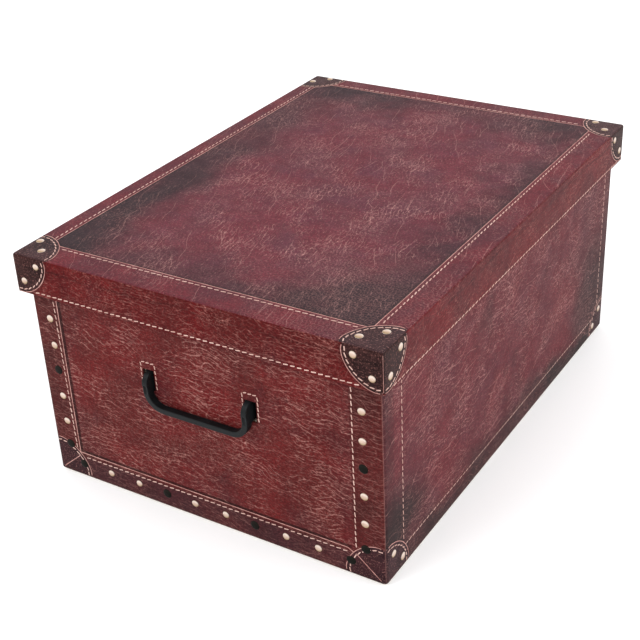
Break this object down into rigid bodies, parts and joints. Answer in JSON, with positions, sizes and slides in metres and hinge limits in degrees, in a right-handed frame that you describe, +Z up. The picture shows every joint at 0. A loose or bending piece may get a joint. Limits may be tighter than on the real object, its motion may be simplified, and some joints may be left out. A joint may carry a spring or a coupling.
{
  "type": "lidded storage box",
  "caption": "Folded-board storage box for papers and keepsakes, faux-leather trunk print, telescoping lift-off lid and a swinging bail handle on each short end.",
  "frame": {"origin": "middle of the box's footprint, on the surface it stands on", "axes": "+Z up through the lid; +Y along the long sides towards the rear end; +X across the short ends towards the right-hand long side as seen from the front handle"},
  "size_m": [0.37, 0.5114, 0.234],
  "materials": {
    "body_print": "matt laminated paper printed as red-brown creased leather, on board",
    "lid_print": "matt laminated paper printed as mauve-brown creased leather, on board",
    "plain_board": "unprinted pale board",
    "handle_plastic": "moulded black plastic, slight gloss"
  },
  "bodies": {
    "box": {"base_panel": "plain_board", "side_wall_left": "body_print", "side_wall_right": "body_print", "end_wall_front_outer": "body_print", "end_wall_front_inner": "plain_board", "rim_fold_front": "body_print", "end_wall_rear_outer": "body_print", "end_wall_rear_inner": "plain_board", "rim_fold_rear": "body_print", "corner_flap_front_left": "plain_board", "corner_flap_front_right": "plain_board", "corner_flap_rear_left": "plain_board", "corner_flap_rear_right": "plain_board"},
    "lid": {"lid_top_panel": "lid_print", "lid_side_skirt_left": "lid_print", "lid_side_skirt_right": "lid_print", "lid_end_skirt_front": "lid_print", "lid_end_skirt_rear": "lid_print", "lid_end_hem_front": "plain_board", "lid_end_hem_rear": "plain_board", "lid_corner_tab_front_left": "plain_board", "lid_corner_tab_front_right": "plain_board", "lid_corner_tab_rear_left": "plain_board", "lid_corner_tab_rear_right": "plain_board"},
    "front_handle": {"handle_front": "handle_plastic"},
    "rear_handle": {"handle_rear": "handle_plastic"}
  },
  "joints": [
    {"name": "lid_lift", "type": "slide", "parent": "box", "child": "lid", "axis": [0, 0, 1], "range_m": [0, 0.3]},
    {"name": "front_handle_swing", "type": "hinge", "parent": "box", "child": "front_handle", "pos_m": [0, -0.2455, 0.1367], "axis": [-1, 0, 0], "range_deg": [0, 90]},
    {"name": "rear_handle_swing", "type": "hinge", "parent": "box", "child": "rear_handle", "pos_m": [0, 0.2455, 0.1367], "axis": [1, 0, 0], "range_deg": [0, 90]}
  ]
}
